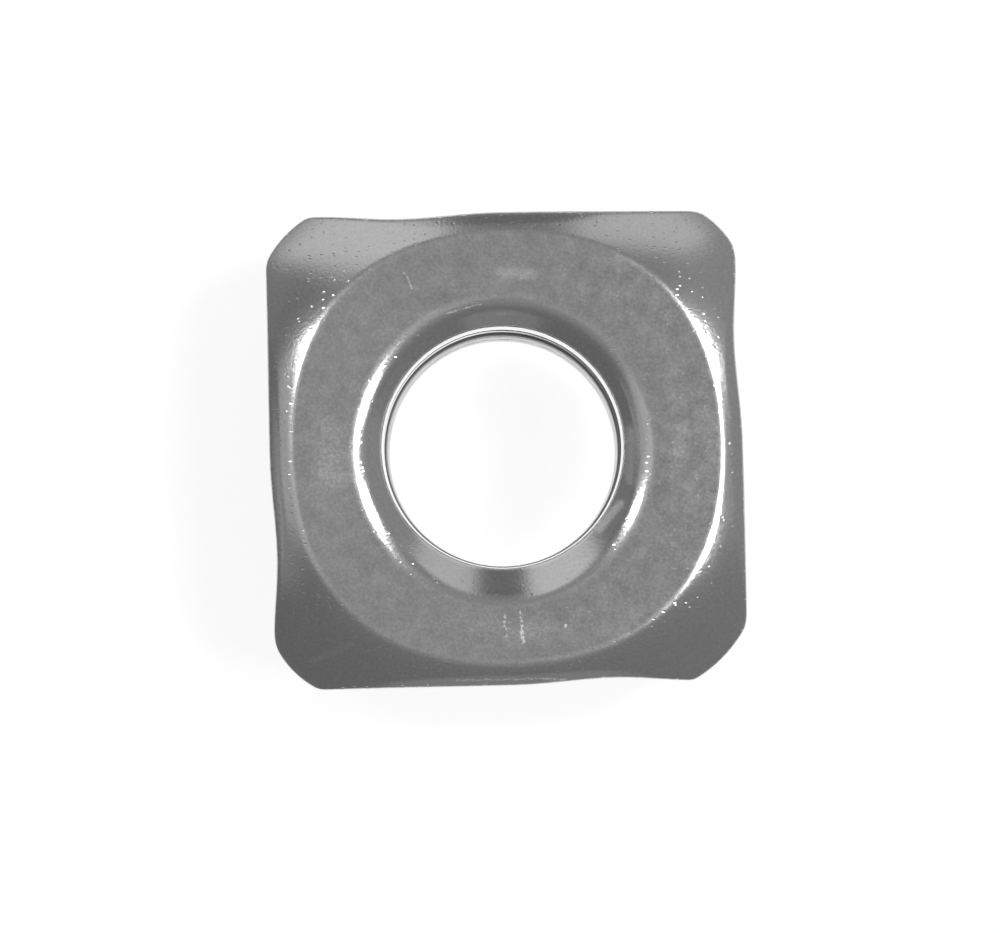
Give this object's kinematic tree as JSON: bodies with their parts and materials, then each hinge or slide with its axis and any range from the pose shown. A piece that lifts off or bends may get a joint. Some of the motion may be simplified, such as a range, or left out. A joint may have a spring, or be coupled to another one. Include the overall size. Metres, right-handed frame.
{
  "type": "square nut",
  "caption": "Square plated-steel nut with a domed corner chamfer round its level top, clipped corners and a countersunk threaded hole, for clamping work on a bolt.",
  "frame": {"origin": "centre of the hole on the flat bearing face", "axes": "+Z along the hole's axis from the bearing face to the crowned top, +X and +Y square to two neighbouring flats"},
  "size_m": [0.0158, 0.0158, 0.0083],
  "materials": {
    "plated_steel": "bright zinc plating, satin on the level top and smooth on the chamfer and in the countersink"
  },
  "bodies": {
    "root": {"nut": "plated_steel"}
  },
  "joints": []
}
